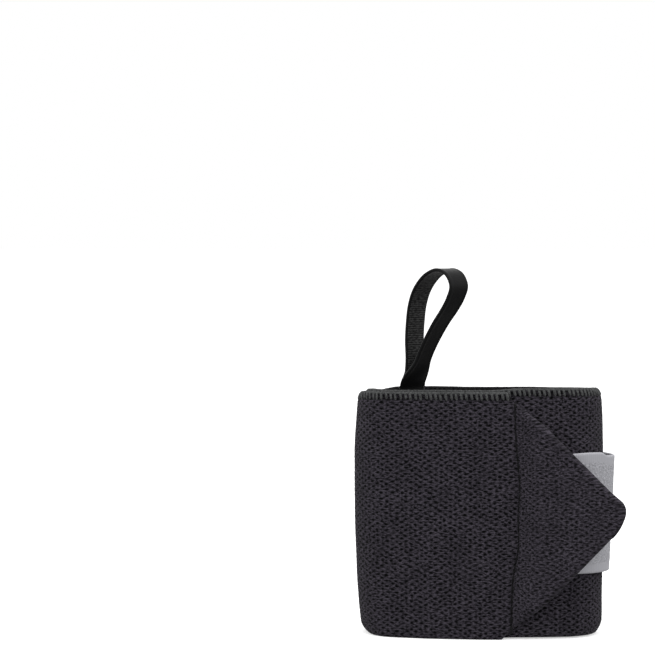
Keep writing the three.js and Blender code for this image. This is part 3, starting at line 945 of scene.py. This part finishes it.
def sewSeam():
    paths = []
    for low in spaced(seam["from"], seam["to"], seam["every"])[:-1]:
        path = []
        for share, rise in seam["hump"]:
            z = low + share * seam["stitch"]
            out = band["thick"] / 2 - grooveAt(0) + rise - tuckedIn(outerEnd, z)
            path.append(coilPoint(outerEnd - seamShift(z), out, z))
        paths.append(path)
    sewThread("seam_stitches", paths, seam["thread"], blackThread)


sewSeam()
buildFlap()


thumbLoop = {
    "wide": 8, "thick": 1.1, "edge": 0.4,
    "thinner": 0.18,        # share that its middle is thinner than its edges ...
    "selvedge": (1.3, 0.7), # ... and the mm in from its edge, between which it gets thicker
    "place": 23.8,          # mm to the left of the front's middle, near the band's inner end
    "high": 39.75,          # mm over the band
    "spread": 21.8,         # mm that it reaches sideways
    "turn": 45,             # degrees that it is turned out of the front
    # mm above the band over which its left and its right side turn from the band's way to their own,
    # and the shares of its length between which the left side ends and the right one begins
    "twists": (7, 11), "sides": (0.4, 0.6),
    # degrees that the right side turns towards its foot, and the shares of its length over which it does
    "edgeOn": 9, "edgeOnOver": (0.55, 0.8),
    # the webbing's middle, up its left side and down its right: shares of spread and high
    "course": [(0.03, 0.1), (0.06, 0.26), (0.05, 0.42), (0.07, 0.57), (0.11, 0.7), (0.19, 0.81),
               (0.31, 0.895), (0.48, 0.965), (0.7, 1), (0.9, 0.965), (1, 0.87), (0.93, 0.77),
               (0.81, 0.68), (0.63, 0.57), (0.45, 0.44), (0.32, 0.33), (0.2, 0.21), (0.06, 0.1)],
    # mm that it is tucked into the coil, and the shares of that where its sewn ends have a point
    "tuck": 12, "sewn": [1, 0.6, 0.3, 0.1, -0.1],
}


# A centripetal Catmull-Rom curve, so that the webbing bends evenly through its unevenly spaced points
def curveThrough(points, perSpan):
    ends = [points[0] * 2 - points[1], *points, points[-1] * 2 - points[-2]]
    places = []
    for a, b, c, d in zip(ends, ends[1:], ends[2:], ends[3:]):
        first, second, third = [(far - near).length ** 0.5 for near, far in ((a, b), (b, c), (c, d))]
        into = ((b - a) / first - (c - a) / (first + second) + (c - b) / second) * second
        outOf = ((c - b) / second - (d - b) / (second + third) + (d - c) / third) * second
        for i in range(perSpan):
            t = i / perSpan
            places.append(b + into * t + (c * 3 - b * 3 - into * 2 - outOf) * t ** 2
                          + (b * 2 - c * 2 + into + outOf) * t ** 3)
    return [*places, points[-1]]


def evenly(places, step):
    walked = [0.0]
    for near, far in zip(places, places[1:]):
        walked.append(walked[-1] + (far - near).length)
    stops, i = [], 0
    for stop in spaced(0, walked[-1], step):
        while i < len(places) - 2 and walked[i + 1] < stop:
            i += 1
        share = clamp((stop - walked[i]) / (walked[i + 1] - walked[i]))
        stops.append((stop, places[i].lerp(places[i + 1], share)))
    return stops


def buildThumbLoop():
    sewnAt = coil["turns"] * turnLength + thumbLoop["place"]
    rightOut = -(band["thick"] / 2 + coil["gap"] + thumbLoop["thick"] / 2)
    leftOut = rightOut - thumbLoop["thick"] - coil["gap"]
    turn = math.radians(thumbLoop["turn"])
    outward = Vector((math.cos(turn), -math.sin(turn), 0))
    half = thumbLoop["wide"] / 2
    sewnAcross = (coilPoint(sewnAt - half, 0, 0) - coilPoint(sewnAt + half, 0, 0)).normalized()
    top = [up for out, up in thumbLoop["course"]].index(1)

    def sewn(out):
        heights = [band["high"] - share * thumbLoop["tuck"] for share in thumbLoop["sewn"]]
        return [coilPoint(sewnAt, out - tuckedIn(sewnAt, z), z) for z in heights]

    course = []
    for i, (out, up) in enumerate(thumbLoop["course"]):
        layer = lerp(leftOut, rightOut, clamp(i / (2 * top)))
        foot = coilPoint(sewnAt, layer, band["high"] + up * thumbLoop["high"])
        course.append(foot + outward * out * thumbLoop["spread"])
    points = [*sewn(leftOut), *course, *reversed(sewn(rightOut))]
    stops = evenly(curveThrough(points, perSpan=24), step=0.5)
    frames = []
    for i, (walked, place) in enumerate(stops):
        along = (stops[min(i + 1, len(stops) - 1)][1] - stops[max(i - 1, 0)][1]).normalized()
        share = walked / stops[-1][0]
        twist = lerp(*thumbLoop["twists"], smoothstep(share, *thumbLoop["sides"]))
        twisted = smoothstep(place.z, band["high"], band["high"] + twist)
        facing = turn - math.radians(thumbLoop["edgeOn"]) * smoothstep(share, *thumbLoop["edgeOnOver"])
        loopAcross = Vector((math.sin(facing), math.cos(facing), 0))
        across = sewnAcross.lerp(loopAcross, twisted).normalized()
        frames.append((place, across, across.cross(along).normalized()))
    heights = spaced(-half + thumbLoop["edge"], half - thumbLoop["edge"], 0.45)
    rows = sectionRows(heights, heights, -half, half, thumbLoop["edge"])
    thins, thickens = thumbLoop["selvedge"]

    def mapAt(index, row):
        return stops[index][0], row["v"]

    def placeAt(index, row):
        place, across, away = frames[index]
        middle = 1 - smoothstep(abs(row["z"]), half - thins, half - thickens)
        out = row["side"] * thumbLoop["thick"] / 2 * (1 - thumbLoop["thinner"] * middle)
        return place + across * row["z"] + away * out

    shell = rollShell(range(len(stops)), rows, placeAt, mapAt)
    piece = makePiece("webbing_loop", shell, loopWebbing)
    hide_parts("thumb_loop")
    print("loop is bent,", round(stops[-1][0]), "mm long")


buildThumbLoop()


# Overlock stitches over the band's top edge: grey bars on its outer face and black ones on its inner face,
# each joined by a yarn along the edge. The black on the inner face is painted shade, for the coil's shaded
# far rim
overlock = {
    "yarn": 1.12,           # mm thick
    "apart": 1.66,          # mm from bar to bar
    "down": 2.9,            # mm that a bar reaches below the edge
    "lean": 0.5,            # mm that it slants
    "stray": 0.45,          # mm that it is out of place at most
    "sunk": 0.33,           # mm that it is pressed into the cloth
    "edgeOut": 0.38,        # mm that the yarn along the edge lies out from its middle ...
    "edgeWander": 0.3,      # ... and wanders in and out ...
    "edgeSink": 0.1,        # ... and up and down
    # mm that the first and the last bar and the yarn's end keep from the ends of the band's edge
    "clear": (0.3, 0.8, 0.5),
    # share of the way down, and share of the way out from the band's middle
    "bar": [(1, 1), (0.7, 1.05), (0.4, 1.05), (0.15, 0.9), (0.02, 0.45), (0, 0.1)],
}


def buildOverlock(name, side, material):
    top = band["high"] - overlock["yarn"] / 2
    begin, end = band["fold"], innerEnd - outerEnd
    first, last, yarnEnd = overlock["clear"]
    paths = []
    for fromSeam in spaced(begin + first, end - last, overlock["apart"]):
        walked = fromSeam + outerEnd
        shift = overlock["stray"] * wander(walked, 0, size=1.3, seed=41)
        path = []
        for down, outward in overlock["bar"]:
            z = top - down * (overlock["down"] + shift - overlock["yarn"] / 2)
            out = side * outward * (band["thick"] / 2 - overlock["sunk"]) - tuckedIn(walked, z)
            lean = side * overlock["lean"] * (0.5 - down)
            path.append(coilPoint(walked + shift + lean, out, bandHeight(walked, z)))
        paths.append(path)
    along = []
    for fromSeam in spaced(begin, end - yarnEnd, overlock["apart"] / 2):
        walked = fromSeam + outerEnd
        out = side * overlock["edgeOut"] + overlock["edgeWander"] * wander(walked, 0, size=1.1, seed=57)
        z = top + overlock["edgeSink"] * wander(walked, 0, size=1.4, seed=63)
        along.append(coilPoint(walked, out - tuckedIn(walked, band["high"]), bandHeight(walked, z)))
    paths.append(along)
    sewThread(name, paths, overlock["yarn"], material)
    print(name, "is sewn:", len(paths))


buildOverlock("overlock_edge", 1, overlockYarn)
buildOverlock("overlock_inner_painted_shade", -1, overlockPaintedShade)


# The surroundings are plain white to the camera and light the wrap more from above, and then the lights
world = bpy.data.worlds.new("studio")
scene.world = world
world.use_nodes = True
add = partial(addNode, world)
way = add("TexCoord").outputs["Generated"]
rise = add("SeparateXYZ", {}, {0: way}).outputs[2]
glow = add("MapRange", {"interpolation_type": "SMOOTHSTEP"}, {
    "Value": rise, "From Min": -0.7, "From Max": 0.8, "To Min": studio["below"], "To Max": studio["above"],
})
seen = add("LightPath").outputs["Is Camera Ray"]
strength = add("Mix", {"data_type": "FLOAT"}, {"Factor": seen, "A": glow, "B": 1.0})
plug(world, world.node_tree.nodes["Background"], {"Color": (1, 1, 1, 1), "Strength": strength})
for name, place, size, watts in studio["lights"]:
    light = bpy.data.lights.new(name, "AREA")
    light.size = size
    light.energy = watts
    stand = bpy.data.objects.new(name, light)
    stand.location = place
    stand.rotation_euler = (Vector(studio["aim"]) - Vector(place)).to_track_quat("-Z", "Y").to_euler()
    scene.collection.objects.link(stand)
print("studio is lit")
